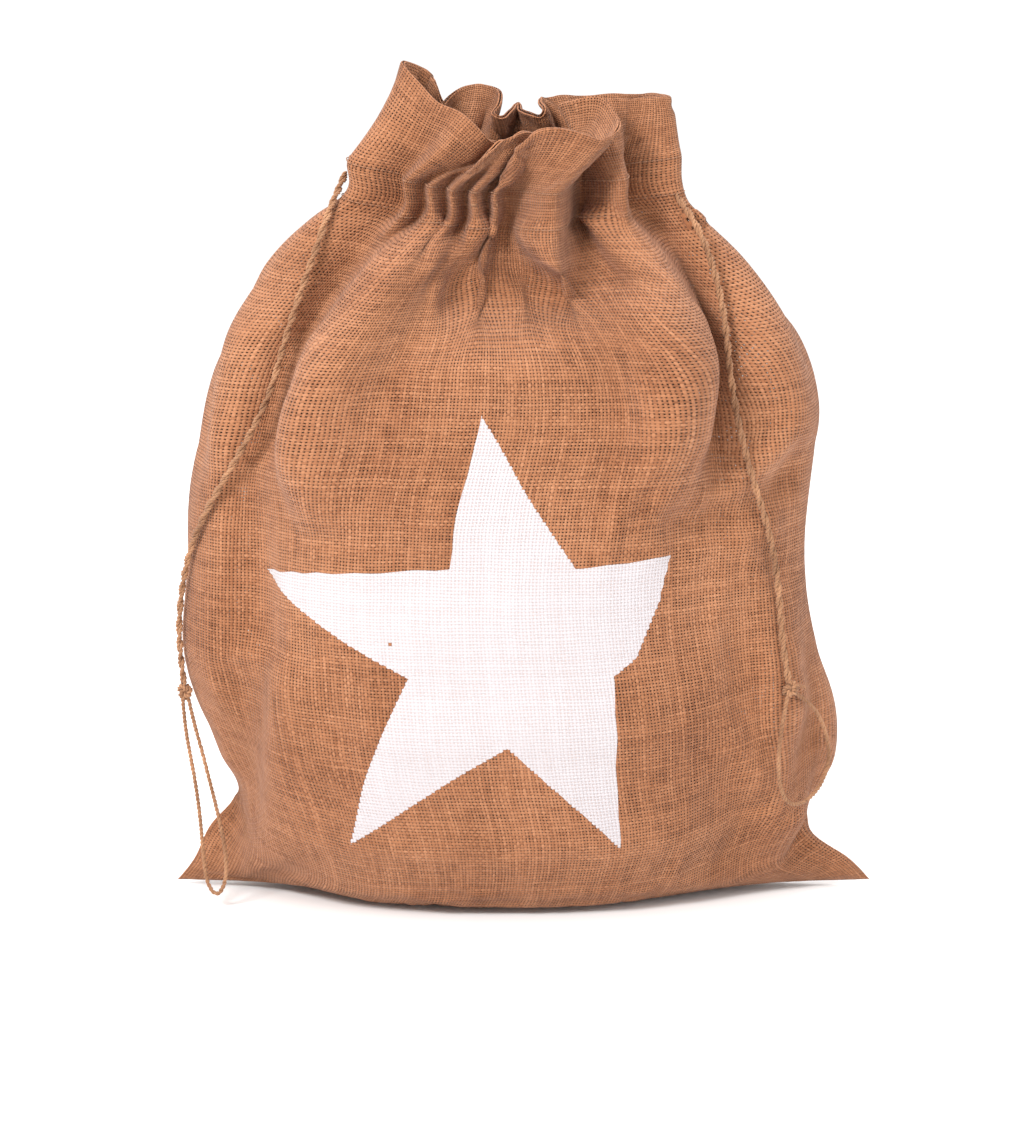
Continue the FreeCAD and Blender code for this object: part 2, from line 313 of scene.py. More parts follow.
# the sack's cloth: start shape, cut and settling
sack = {
    "width": 465.0,                 # one panel, flat, mm
    "spacing": 5.2,
    "channel": (506.0, 531.0),      # held levels up the cloth
    # cloth height, left, right, half depth, middle height, height at the side seams, pinch of the ends
    "rings": [
        (0, -211, 211, 1.5, 2, 4, 1.0),
        (30, -202, 199, 31, 2.5, 19, 1.9),
        (60, -193, 173, 58, 3.5, 41, 2.0),
        (85, -180, 172, 78, 15, 58, 1.9),
        (118, -184, 182, 88, 45, 80, 1.6),
        (167, -200, 180, 92, 94, 118, 1.25),
        (213, -206, 175, 91, 140, 154, 1.1),
        (273, -205, 165, 89, 200, 204, 1.0),
        (328, -203, 171, 88, 255, 257, 1.0),
        (373, -192, 178, 84, 300, 302, 1.0),
        (414, -179, 164, 76, 340, 342, 1.0),
        (457, -154, 124, 62, 380, 382, 1.0),
        (492, -119, 88, 45, 412, 412, 1.0),
        (506, -99, 78, 34, 425, 425, 1.0),
        (531, -97, 76, 33, 446, 446, 1.0),
        (592, -88, 80, 40, 480, 480, 1.0),
    ],
    "dip": (20.0, 410.0),           # how far the front of the neck hangs, and from which level up
    # share of the neck's front arc that each length of cloth has reached
    "gather": [(0, 0), (48, 0.17), (82, 0.24), (118, 0.31), (150, 0.37), (196, 0.44), (228, 0.49),
               (345, 0.75), (420, 0.90), (465, 1.0)],
    "tucks": [48, 82, 118, 150, 196, 228, 345, 420,
              500, 548, 590, 640, 672, 728, 765, 822, 856, 915],
    "pleatDepth": 0.20,             # of a pleat's cloth width
    # frill edge: place along the cloth, then x, y and z
    "frill": [
        (0, -73, 4, 499), (24, -61, -10, 487), (41, -50, -20, 476), (56, -38, -27, 472),
        (72, -27, -32, 463), (82, -21, -29, 456), (100, -13, -10, 452), (118, -17, -30, 447),
        (132, -30, -43, 442), (146, -21, -46, 452), (163, -6, -42, 460), (175, 4, -33, 460),
        (193, 10, -12, 455), (208, 8, -32, 452), (222, -7, -50, 453), (236, 4, -53, 461),
        (253, 20, -54, 464), (270, 37, -52, 460), (281, 46, -49, 457), (291, 54, -43, 461),
        (300, 57, -33, 464), (314, 53, -19, 471), (328, 46, -9, 479), (345, 30, -2, 478),
        (359, 21, 8, 474), (385, 43, 10, 477), (425, 67, 3, 478), (465, 86, 1, 479),
        (500, 78, 25, 478), (532, 62, 40, 477), (562, 41, 43, 476), (590, 20, 40, 476),
        (614, 7, 31, 475), (638, 10, 11, 470), (656, 1, 16, 470), (680, -4, 40, 473),
        (702, -11, 20, 469), (718, -16, 12, 468), (740, -12, 36, 479), (760, -24, 49, 482),
        (781, -38, 44, 481), (806, -51, 34, 472), (830, -44, 13, 470), (856, -51, 12, 484),
        (882, -54, 18, 491), (908, -64, 18, 496),
    ],
    # each fold: rows of level, cloth place, height, width on its left and on its right
    "folds": [
        [(330, 96, 0, 20, 50), (380, 102, 15, 15, 52), (430, 104, 21, 13, 48), (470, 96, 17, 13, 40),
         (504, 72, 0, 12, 26)],
        [(300, 62, 0, 16, 16), (370, 66, -8, 16, 16), (440, 70, -12, 16, 14), (500, 56, 0, 12, 12)],
        [(405, 230, 0, 60, 60), (424, 228, -9, 52, 56), (446, 224, -26, 44, 50), (478, 214, -20, 32, 42),
         (503, 212, 0, 20, 30)],
        [(360, 225, 0, 90, 90), (398, 228, 7, 95, 90), (414, 230, 6, 80, 80), (424, 230, 0, 60, 60)],
        [(400, 172, 0, 12, 20), (430, 176, 7, 14, 12), (470, 166, 9, 12, 12), (503, 140, 0, 8, 10)],
        [(425, 285, 0, 16, 14), (450, 290, 9, 16, 12), (480, 286, 12, 20, 12), (504, 275, 0, 20, 12)],
        [(285, 330, 0, 50, 16), (330, 333, 12, 52, 13), (400, 340, 19, 50, 12), (445, 362, 20, 40, 12),
         (484, 384, 11, 22, 12), (504, 396, 0, 12, 10)],
        [(270, 362, 0, 16, 22), (330, 366, -11, 14, 22), (400, 374, -15, 12, 20), (450, 395, -13, 12, 18),
         (495, 412, 0, 8, 10)],
        [(330, 425, 0, 20, 20), (390, 422, 9, 18, 20), (450, 430, 10, 16, 16), (500, 440, 0, 10, 12)],
        [(296, 318, 0, 14, 12), (312, 352, -7, 14, 12), (330, 396, -8, 16, 14), (352, 430, 0, 16, 14)],
        [(150, 28, 0, 30, 40), (110, 34, 8, 22, 36), (70, 40, 9, 16, 34), (30, 46, 0, 14, 30)],
        [(150, 430, 0, 30, 26), (100, 428, 6, 34, 20), (55, 424, 5, 30, 16), (25, 420, 0, 30, 14)],
        [(345, 515, 0, 30, 24), (420, 520, 15, 30, 22), (470, 522, 12, 22, 18), (503, 526, 0, 12, 12)],
        [(345, 578, 0, 24, 24), (425, 580, -16, 24, 26), (475, 574, -12, 18, 18), (503, 570, 0, 12, 12)],
        [(330, 640, 0, 34, 24), (420, 642, 17, 34, 22), (470, 640, 14, 24, 18), (503, 640, 0, 14, 12)],
        [(350, 704, 0, 24, 24), (430, 700, -16, 24, 26), (475, 698, -13, 18, 20), (503, 696, 0, 12, 12)],
        [(320, 765, 0, 40, 26), (415, 768, 17, 36, 22), (470, 772, 13, 24, 18), (503, 776, 0, 14, 12)],
        [(350, 832, 0, 20, 24), (430, 832, -14, 20, 24), (475, 836, -11, 16, 18), (503, 840, 0, 12, 12)],
        [(345, 892, 0, 26, 20), (425, 895, 12, 26, 18), (475, 898, 10, 20, 16), (503, 900, 0, 12, 12)],
    ],
    "crumple": 3.0,
    "frames": 24,
    "gravity": 0.55,
    "settings": {
        "quality": 6, "mass": 0.0002, "tension_stiffness": 30, "compression_stiffness": 20,
        "shear_stiffness": 8, "bending_stiffness": 1.2, "tension_damping": 10, "compression_damping": 10,
        "shear_damping": 5, "bending_damping": 1, "air_damping": 2, "pin_stiffness": 1.0,
    },
    "touching": {
        "distance_min": 0.002, "collision_quality": 3, "use_self_collision": True,
        "self_distance_min": 0.0011, "self_friction": 5,
    },
}


def throughPoints(places, values, at, period=None):
    # a smooth curve through points; closed if a period is given
    places, values = np.array(places, float), np.array(values, float)
    if period:
        places = np.concatenate([places[-2:] - period, places, places[:3] + period])
        values = np.concatenate([values[-2:], values, values[:3]])
    slope = np.gradient(values, places, axis=0)
    k = np.clip(np.searchsorted(places, at, side="right") - 1, 0, len(places) - 2)
    h = places[k + 1] - places[k]
    t = (at - places[k]) / h
    if values.ndim > 1:
        t, h = t[:, None], h[:, None]
    return ((2 * t**3 - 3 * t**2 + 1) * values[k] + (t**3 - 2 * t**2 + t) * h * slope[k]
            + (3 * t**2 - 2 * t**3) * values[k + 1] + (t**3 - t**2) * h * slope[k + 1])


def ellipsePoints(left, right, deep, pinch, shares):
    # points at shares of the way round, from the left seam by the front, and the outward normals
    half, middle = (right - left) / 2, (right + left) / 2

    def outline(angle):
        return middle - half * np.cos(angle), -deep * np.sign(np.sin(angle)) * np.abs(np.sin(angle)) ** pinch

    angle = np.linspace(0, 2 * math.pi, 2881)
    x, y = outline(angle)
    length = np.concatenate([[0], np.cumsum(np.hypot(np.diff(x), np.diff(y)))])
    at = np.interp(shares * length[-1], length, angle)
    px, py = outline(at)
    nx, ny = -np.cos(at) * deep, -np.sin(at) * half
    size = np.hypot(nx, ny) + 1e-9
    return px, py, nx / size, ny / size, length[-1], at


def startShape(columns, rows):
    s = sack
    around = 2 * s["width"]
    levels = np.linspace(0, s["rings"][-1][0], rows)
    along = np.arange(columns) / columns * around
    rings = [throughPoints([r[0] for r in s["rings"]], [r[k] for r in s["rings"]], levels)
             for k in range(1, 7)]
    tucks = np.array(s["tucks"] + [s["tucks"][0] + around], float)
    shifted = np.where(along < tucks[0], along + around, along)
    phase = (np.interp(shifted, tucks, np.arange(len(tucks))) + 0.5) * 2 * math.pi
    pleatWidth = np.interp(shifted, (tucks[:-1] + tucks[1:]) / 2, np.diff(tucks), period=around)
    gather = np.concatenate([
        np.interp(along[along <= s["width"]], *zip(*s["gather"])) / 2,
        along[along > s["width"]] / around,
    ])
    frill = throughPoints([f[0] for f in s["frill"]], [f[1:] for f in s["frill"]], along, around)
    low, high = s["channel"]
    points = np.zeros((rows, columns, 3))
    for row, level in enumerate(levels):
        left, right, deep, midHeight, sideHeight, pinch = (ring[row] for ring in rings)
        deep, pinch = max(deep, 1.2), max(pinch, 1.0)
        gathered = np.clip((level - 380) / (low - 380), 0, 1)
        gathered = gathered * gathered * (3 - 2 * gathered)
        shares = along / around * (1 - gathered) + gather * gathered
        x, y, nx, ny, length, at = ellipsePoints(left, right, deep, pinch, shares)
        ratio = around / length
        tight = math.sqrt(max(ratio - 1, 0) / 1.14)
        small = np.clip(1 - (low - level) / 75, 0, 1) ** 0.8 if level < low else 1.0
        push = tight * small * s["pleatDepth"] * pleatWidth * np.cos(phase)
        for fold in s["folds"]:
            steps = sorted(fold)
            if steps[0][0] < level < steps[-1][0]:
                table = np.array(steps, float)
                centre, tall, before, after = throughPoints(table[:, 0], table[:, 1:], np.array([level]))[0]
                gap = (along - centre + around / 2) % around - around / 2
                push = push + tall * np.exp(-np.abs(gap / np.where(gap < 0, before, after)) ** 2.0)
        side = np.abs(np.cos(at)) ** 4
        z = midHeight * (1 - side) + sideHeight * side
        hang = min(1.0, max(0.0, (level - s["dip"][1]) / (low - s["dip"][1])))
        z = z - s["dip"][0] * hang * np.maximum(np.sin(at), 0) ** 1.3
        x, y = x + nx * push, y + ny * push
        if level > high:
            t = (level - high) / (levels[-1] - high)
            bend = t ** 0.9
            x = x * (1 - bend) + frill[:, 0] * bend
            y = y * (1 - bend) + frill[:, 1] * bend
            z = z - sideHeight + 446
            z = z + (frill[:, 2] - z) * t
        if 60 < level < low:
            rough = s["crumple"] * min(1, (level - 60) / 60) * min(1, (low - level) / 60)
            for k in range(columns):
                spot = Vector((x[k] / 60, y[k] / 60, z[k] / 48)) + Vector((3.1, 7.7, 1.3))
                swell = noise.noise(spot) * rough
                x[k] += nx[k] * swell
                y[k] += ny[k] * swell
        points[row, :, 0], points[row, :, 1], points[row, :, 2] = x, y, z
    return points * mm, along, levels


filling = {
    # height, left, right, front, back
    "rings": [
        (5, -118, 86, -50, 46), (14, -138, 104, -68, 62), (45, -150, 118, -83, 78),
        (94, -156, 124, -89, 84), (200, -158, 122, -91, 85), (300, -150, 114, -89, 80),
        (328, -140, 106, -84, 72), (341, -118, 90, -70, 58), (347, -78, 60, -44, 35),
    ],
    "round": 0.80,
    "segments": 96,
    "slack": 9.0,                   # how far the bundle stays inside that, mm
    "light": (0.14, 0.058, 0.026),
    "dark": (0.07, 0.026, 0.010),
}


def fillingMesh(shrink=0.0):
    s = filling
    bm = bmesh.new()
    loops = []
    for height, left, right, front, back in s["rings"]:
        loop = []
        for k in range(s["segments"]):
            t = 2 * math.pi * k / s["segments"]
            c, d = math.cos(t), math.sin(t)
            x = (left + right) / 2 + ((right - left) / 2 - shrink) * math.copysign(abs(c) ** s["round"], c)
            reach = (back if d > 0 else -front) - shrink
            y = reach * math.copysign(abs(d) ** s["round"], d)
            loop.append(bm.verts.new((x * mm, y * mm, height * mm)))
        loops.append(loop)
    for lower, upper in zip(loops, loops[1:]):
        for k in range(s["segments"]):
            following = (k + 1) % s["segments"]
            bm.faces.new((lower[k], lower[following], upper[following], upper[k]))
    bm.faces.new(reversed(loops[0]))
    bm.faces.new(loops[-1])
    return toMesh(bm, "filling")


def settleCloth():
    s = sack
    columns = int(round(2 * s["width"] / s["spacing"] / 4)) * 4
    rows = int(round(s["rings"][-1][0] / s["spacing"])) + 1
    points, along, levels = startShape(columns, rows)
    half = columns // 2
    # the bottom row's front and back columns are sewn together
    index = -np.ones((rows, columns), int)
    places, cut = [], []
    for row in range(rows):
        for column in range(columns):
            if row == 0 and column > half:
                index[row, column] = index[0, columns - column]
                continue
            place = points[row, column]
            if row == 0 and 0 < column < half:
                place = (place + points[0, columns - column]) / 2
            index[row, column] = len(places)
            places.append(place)
            across = along[column] if column <= half else 2 * s["width"] - along[column]
            lift = 0.0 if row == 0 or column in (0, half) else (-0.3 if column < half else 0.3)
            cut.append(((across - s["width"] / 2) * mm, lift * mm, levels[row] * mm))
    faces = [
        (index[row, column], index[row, (column + 1) % columns],
         index[row + 1, (column + 1) % columns], index[row + 1, column])
        for row in range(rows - 1) for column in range(columns)
    ]
    mesh = bpy.data.meshes.new("cloth")
    mesh.from_pydata([tuple(p) for p in places], [], [tuple(int(i) for i in f) for f in faces])
    cloth = addObject("cloth", mesh)
    cloth.shape_key_add(name="start")
    flat = cloth.shape_key_add(name="cut")
    for k, place in enumerate(cut):
        flat.data[k].co = place
    held = cloth.vertex_groups.new(name="held")
    low, high = s["channel"]
    for row in range(rows):
        level = levels[row]
        for column in range(columns):
            if low <= level <= high or row == 0:
                held.add([int(index[row, column])], 1.0, "REPLACE")
            elif level > high:
                held.add([int(index[row, column])], 0.55, "REPLACE")
    helpers = [cloth]
    floorMesh = bpy.data.meshes.new("floorHelper")
    floorMesh.from_pydata([(-1, -1, 0), (1, -1, 0), (1, 1, 0), (-1, 1, 0)], [], [(0, 1, 2, 3)])
    for helperMesh in (fillingMesh(), floorMesh):
        helper = addObject("helper", helperMesh)
        helper.modifiers.new("solid", "COLLISION")
        helper.collision.thickness_outer = 0.002
        helper.collision.thickness_inner = 0.02
        helper.collision.cloth_friction = 8
        helpers.append(helper)
    modifier = cloth.modifiers.new("cloth", "CLOTH")
    settings = modifier.settings
    for name, value in s["settings"].items():
        setattr(settings, name, value)
    settings.vertex_group_mass = "held"
    settings.rest_shape_key = flat
    settings.effector_weights.gravity = s["gravity"]
    for name, value in s["touching"].items():
        setattr(modifier.collision_settings, name, value)
    modifier.point_cache.frame_start, modifier.point_cache.frame_end = 1, s["frames"]
    for step in range(1, s["frames"] + 1):
        scene.frame_set(step)
    settled = bpy.data.meshes.new_from_object(cloth.evaluated_get(bpy.context.evaluated_depsgraph_get()))
    flatPlaces = np.empty(len(settled.vertices) * 3)
    settled.vertices.foreach_get("co", flatPlaces)
    result = flatPlaces.reshape(-1, 3)[index.reshape(-1)].reshape(rows, columns, 3)
    for helper in helpers:
        data = helper.data
        bpy.data.objects.remove(helper)
        bpy.data.meshes.remove(data)
    bpy.data.meshes.remove(settled)
    scene.frame_set(1)
    return result, levels


def gridNormals(points):
    # outward normals of the whole closed tube
    acrossStep = np.roll(points, -1, axis=1) - np.roll(points, 1, axis=1)
    upStep = np.gradient(points, axis=0)
    normal = np.cross(acrossStep, upStep)
    return normal / (np.linalg.norm(normal, axis=2, keepdims=True) + 1e-12)


# drawcords: the middle of each free pair from the exit to the knot, then its loop, in mm
cords = {
    "left": {
        "tail": [
            (-105, -2, 434), (-113, -24, 417), (-121, -37, 393), (-131, -44, 366), (-139, -52, 341),
            (-147, -58, 312), (-160, -55, 286), (-174, -48, 262), (-189, -36, 236), (-200, -23, 209),
            (-205.5, -17, 180), (-206.5, -17, 153), (-203.5, -18, 129),
        ],
        "loop": [
            (-204.6, -18.5, 122.5), (-203.5, -20, 106), (-200.5, -22.5, 89), (-197, -26, 71),
            (-194, -32, 51), (-192, -39, 31), (-189.5, -46, 14), (-183, -50, 7), (-177.5, -49, 17),
            (-178, -44, 34), (-182.5, -37, 53), (-188, -29, 72), (-193, -23.5, 90), (-198, -20, 107),
            (-201.4, -18, 122.5),
        ],
        "knot": (-203.2, -18.1, 125.6),
        "knotTurn": 20.0,
        "channelLevel": 521.5,
        "exit": (-105, -2, 434),
        "side": -1,
    },
    "right": {
        "tail": [
            (84, -2, 428), (96, -21, 414), (106, -31, 394), (113, -40, 371), (117, -52, 346),
            (119, -60, 320), (124, -64, 293), (131, -63, 266), (140, -57, 239), (147, -50, 212),
            (150, -49, 185), (152, -51, 160), (156, -50, 138),
        ],
        "loop": [
            (159, -49.5, 132.5), (168, -42, 125), (176, -33, 114), (181.5, -25, 99), (183.5, -22, 84),
            (178, -28, 70), (168, -38, 62), (157, -48, 63), (151, -53, 76), (150, -55, 95),
            (152, -54, 113), (155.5, -51, 131.5),
        ],
        "knot": (157, -50, 134.6),
        "knotTurn": -35.0,
        "channelLevel": 515.0,
        "exit": (84, -2, 428),
        "side": 1,
    },
}
rope = {
    "twine": 2.5 * mm,
    "pair": 4.6 * mm,
    "plyPitch": 5.2 * mm,
    "pairPitch": 21.0 * mm,
    "pairApart": 1.0 * mm,
    "step": 0.75 * mm,
    "hairs": 0.55,                  # loose fibres to each millimetre
    "stub": [(1.5, -2.0, 1.5), (4.2, -3.2, 2.8), (6.8, -3.4, 2.2), (8.8, -3.2, 0.6)],
}


def evenly(points, step):
    # the same line with points an even step apart
    reach = [0.0]
    for first, second in zip(points, points[1:]):
        reach.append(reach[-1] + (second - first).length)
    count = max(2, int(round(reach[-1] / step)) + 1)
    table = np.array([tuple(p) for p in points])
    at = np.linspace(0, reach[-1], count)
    return [Vector(p) for p in np.stack([np.interp(at, reach, table[:, k]) for k in range(3)], axis=1)]


def routeLine(name, points, step):
    # the smooth line that a route's points control
    curve = bpy.data.curves.new(name, "CURVE")
    curve.dimensions = "3D"
    curve.resolution_u = 24
    spline = curve.splines.new("NURBS")
    spline.points.add(len(points) - 1)
    for point, place in zip(spline.points, points):
        point.co = (*(value * mm for value in place), 1.0)
    spline.order_u = 3
    spline.use_endpoint_u = True
    holder = addObject(name, curve)
    bpy.context.view_layer.update()
    mesh = bpy.data.meshes.new_from_object(holder)
    line = [vertex.co.copy() for vertex in mesh.vertices]
    bpy.data.objects.remove(holder)
    bpy.data.curves.remove(curve)
    bpy.data.meshes.remove(mesh)
    return evenly(line, step)


# folds pressed into the settled front: height, width on the right or above, width on the left or
# below, then the crest's x and z
frontFolds = [
    (21, 44, 11, [(-50, 414), (-78, 392), (-98, 365), (-111, 337), (-120, 305), (-125, 270), (-122, 230)]),
    (-12, 14, 12, [(-80, 408), (-102, 388), (-119, 364), (-131, 336), (-140, 305), (-144, 268)]),
    (18, 11, 40, [(30, 410), (55, 395), (75, 377), (85, 355), (88, 325), (88, 295), (84, 258)]),
    (-17, 22, 11, [(62, 414), (83, 400), (99, 378), (105, 350), (106, 320), (105, 290), (101, 256)]),
    (-24, 46, 9, [(-54, 372), (-30, 361), (0, 356), (32, 360), (62, 376), (80, 394)]),
    (8, 8, 50, [(-66, 356), (-28, 346), (4, 342), (38, 346), (72, 364)]),
    (11, 11, 12, [(-60, 412), (-52, 394), (-45, 376), (-44, 352)]),
    (-6, 10, 10, [(-46, 409), (-40, 392), (-33, 376)]),
    (9, 12, 11, [(-31, 412), (-26, 394), (-14, 376), (-6, 350)]),
    (-5, 10, 10, [(-14, 408), (-8, 392), (2, 378)]),
    (9, 16, 11, [(-4, 410), (8, 392), (26, 374), (48, 354)]),
    (-6, 12, 12, [(26, 406), (38, 390), (50, 376)]),
    (10, 12, 12, [(38, 414), (46, 398), (58, 384)]),
    (-11, 10, 15, [(70, 243), (98, 237), (127, 243), (150, 258), (166, 278)]),
    (8, 18, 10, [(76, 258), (104, 252), (130, 258), (154, 278)]),
    (9, 14, 12, [(-150, 372), (-164, 342), (-172, 305), (-176, 268)]),
    (-8, 20, 16, [(-152, 300), (-159, 255), (-161, 205), (-158, 155)]),
    (-11, 16, 18, [(-168, 150), (-172, 118), (-168, 84), (-174, 60)]),
    (9, 44, 12, [(-142, 160), (-144, 110), (-149, 66), (-166, 24)]),
    (6, 16, 34, [(152, 200), (154, 155), (150, 108), (144, 60)]),
    (-9, 15, 14, [(168, 160), (167, 116), (161, 78), (158, 44)]),
    (7, 30, 18, [(106, 404), (124, 374), (136, 338), (141, 300)]),
    (-4, 40, 30, [(-90, 214), (-50, 204), (-10, 208)]),
    (4, 36, 30, [(-100, 120), (-30, 112), (60, 122), (110, 130)]),
]


def pressFolds(points, folds):
    # pushes the front of the cloth out, or in, along each fold
    normals = gridNormals(points)
    outward = normals * np.array([1.0, 1.0, 0.0])
    outward /= np.linalg.norm(outward, axis=2, keepdims=True) + 1e-9
    wave = np.array([[noise.noise(Vector(p) * 17) for p in row] for row in points])
    x, z = points[:, :, 0] / mm + wave * 9, points[:, :, 2] / mm + np.roll(wave, 40, axis=1) * 9
    front = np.clip(-normals[:, :, 1] * 3 + 0.4, 0, 1)
    front[:, columnCount // 2 + 1:] = 0
    held = (levels >= sack["channel"][0] - 3) | (levels < 1)
    push = np.zeros(x.shape)
    for height, above, below, path in folds:
        nearest, signed, place = np.full(x.shape, 1e9), np.zeros(x.shape), np.zeros(x.shape)
        for k, ((ax, az), (bx, bz)) in enumerate(zip(path, path[1:])):
            dx, dz = bx - ax, bz - az
            t = np.clip(((x - ax) * dx + (z - az) * dz) / (dx * dx + dz * dz), 0, 1)
            px, pz = x - ax - t * dx, z - az - t * dz
            distance = np.hypot(px, pz)
            closer = distance < nearest
            nearest = np.where(closer, distance, nearest)
            signed = np.where(closer, dx * pz - dz * px, signed)
            place = np.where(closer, (k + t) / (len(path) - 1), place)
        width = np.where(signed > 0, above, below)
        taper = np.clip(np.minimum(place, 1 - place) * 4.5, 0, 1)
        push += height * (0.5 + 0.5 * np.cos(np.pi * np.clip(nearest / width, 0, 1))) * taper * (2 - taper)
    push = np.where(push < -24, -24 + (push + 24) * 0.3, push)
    result = points + outward * (push * front)[:, :, None] * mm
    # a little relaxing, so that neighbouring folds run into one another
    for _ in range(7):
        around = (np.roll(result, 1, axis=1) + np.roll(result, -1, axis=1)) / 4
        around[1:-1] += (result[2:] + result[:-2]) / 4
        share = 0.6 * np.clip(np.abs(push) / 6, 0, 1)
        share[:1] = share[-1:] = 0
        share[held] = 0
        result = result * (1 - share[:, :, None]) + around * share[:, :, None]
    return result


def meetCords(points, lines, most, spread):
    # the cloth swells out to where the cords lie
    flat = points.reshape(-1, 3)
    outward = gridNormals(points).reshape(-1, 3) * np.array([1.0, 1.0, 0.0])
    push = np.zeros(len(flat))
    for line, radius in lines:
        path = np.array([tuple(p) for p in line[::8]])
        apart = np.linalg.norm(path[None] - flat[:, None], axis=2)
        gap = np.convolve(np.pad(apart.min(axis=0), 4, mode="edge"), np.ones(9) / 9, mode="valid")
        gap = gap[apart.argmin(axis=1)]
        lift = np.clip(gap - radius - 2 * mm, 0, most) * np.exp(-((apart.min(axis=1) - gap) / spread) ** 2)
        push = np.maximum(push, lift)
    push = push.reshape(points.shape[:2]) * (levels < sack["channel"][0] - 12)[:, None]
    return points + outward.reshape(points.shape) * push[:, :, None]


def pressUnder(points, lines):
    # the cloth gives way under the free cords
    for _ in range(3):
        normals = gridNormals(points)
        for line, radius in lines:
            path = np.array([tuple(p) for p in line[::3]])
            low, high = path.min(0) - 0.02, path.max(0) + 0.02
            inside = ((points > low) & (points < high)).all(axis=2) & (levels < 495)[:, None]
            row, column = np.nonzero(inside)
            out = normals[row, column]
            apart = path[None] - points[row, column][:, None]
            above = np.einsum("nmk,nk->nm", apart, out)
            beside = np.sqrt(np.maximum((apart ** 2).sum(axis=2) - above ** 2, 0))
            near = np.argmin(beside + (above < -0.03), axis=1)[:, None]
            above, beside = (np.take_along_axis(t, near, axis=1)[:, 0] for t in (above, beside))
            need = radius + 0.9 * mm - above - beside ** 2 / 0.03
            need[(beside > 0.018) | (above < -0.03) | (need < 0)] = 0
            points[row, column] -= out * need[:, None] * 0.8
    return points


settled, levels = settleCloth()
rowCount, columnCount = settled.shape[:2]
settled = pressFolds(settled, frontFolds)
routes = {side + part: routeLine(side + part, values[part], step * mm)
          for side, values in cords.items() for part, step in (("tail", 0.75), ("loop", 0.6))}
lying = [(line[8:], rope["pair" if "tail" in name else "twine"] / 2)
         for name, line in routes.items() if name != "leftloop"]
settled = meetCords(settled, lying, 9 * mm, 24 * mm)
settled = pressUnder(settled, lying)
print("cloth settled", settled.reshape(-1, 3).min(0).round(4), settled.reshape(-1, 3).max(0).round(4))


# panels, facings and seams cut from the settled cloth
make = {
    "cloth": 0.8 * mm,
    "facingGap": 2.6 * mm,          # between panel and facing at the channel
    "facingHem": 1.3 * mm,          # and where they are sewn together
    "facingLow": 497.0,
    "exitGap": 2.4 * mm,            # half the gap in a side seam
    "exitLevels": (511.0, 526.0),
    "seamWidth": 8.5 * mm,
    "seamThick": 1.7 * mm,
    "seamLevels": (22.0, 476.0),
    "channelLines": (506.0, 531.0),
}
halfCount = columnCount // 2
settled[:, :, 2] = np.maximum(settled[:, :, 2], 0.9 * mm)
normals = gridNormals(settled)


def panelColumns(front):
    return list(range(halfCount + 1)) if front else list(range(halfCount, columnCount)) + [0]


def sheetMesh(name, rows, up):
    # rows of points to a smooth sheet whose UV map is the flat cloth in metres
    high, wide = len(rows), len(rows[0])
    across = (np.arange(wide) / (wide - 1) - 0.5) * sack["width"] * mm
    mesh = bpy.data.meshes.new(name)
    points = [tuple(p) for row in rows for p in row]
    faces = [(r * wide + c, r * wide + c + 1, (r + 1) * wide + c + 1, (r + 1) * wide + c)
             for r in range(high - 1) for c in range(wide - 1)]
    mesh.from_pydata(points, [], faces)
    layer = mesh.uv_layers.new(name="cloth")
    index = np.empty(len(mesh.loops), int)
    mesh.loops.foreach_get("vertex_index", index)
    flat = np.stack([across[index % wide], np.array(up)[index // wide]], axis=1)
    layer.data.foreach_set("uv", flat.astype(np.float32).reshape(-1))
    mesh.validate()
    return mesh


def finishCloth(piece):
    smooth = piece.modifiers.new("smooth", "SUBSURF")
    smooth.levels = smooth.render_levels = 1
    smooth.boundary_smooth = "PRESERVE_CORNERS"
    wall = piece.modifiers.new("wall", "SOLIDIFY")
    wall.thickness = make["cloth"]
    wall.offset = -1.0
    wall.use_even_offset = False


def openExit(grid, front):
    # the side seams part where the cords come out
    low, high = make["exitLevels"]
    side = -1 if front else 1
    for row, level in enumerate(levels):
        if low < level < high:
            for end, neighbour in ((0, 1), (-1, -2)):
                grid[row][end] = grid[row][end] + np.array([0, side * make["exitGap"], 0])
    return grid


def makePanel(front, facing):
    columns = panelColumns(front)
    grid = [[settled[row, column].copy() for column in columns] for row in range(rowCount)]
    grid = openExit(grid, front)
    up = [level * mm for level in levels]
    # the top edge turns over into the facing
    grid.append([settled[-1, c] - normals[-1, c] * 0.9 * mm + np.array([0, 0, 0.5 * mm]) for c in columns])
    up.append(up[-1] + 1.0 * mm)
    name = "frontPanel" if front else "backPanel"
    mesh = sheetMesh(name, grid, up)
    piece = addPiece(name, mesh, frontCloth if front else plainCloth,
                     "front_panel star_print" if front else "back_panel")
    finishCloth(piece)


def makeFacing(front):
    columns = panelColumns(front)
    low, high = sack["channel"]
    rows, up = [], []
    for row in range(rowCount - 1, -1, -1):
        level = levels[row]
        if level < make["facingLow"]:
            break
        inChannel = min(1.0, max(0.0, min(level - low, high - level) / 6 + 0.6))
        gap = make["facingHem"] + (make["facingGap"] - make["facingHem"]) * inChannel
        rows.append([settled[row, c] - normals[row, c] * (gap + make["cloth"]) for c in columns])
        up.append((2 * levels[-1] - level) * mm)
    rows.reverse()
    up.reverse()
    name = "frontFacing" if front else "backFacing"
    piece = addPiece(name, sheetMesh(name, rows, up), plainCloth,
                     "front_facing" if front else "back_facing")
    finishCloth(piece)
    return piece


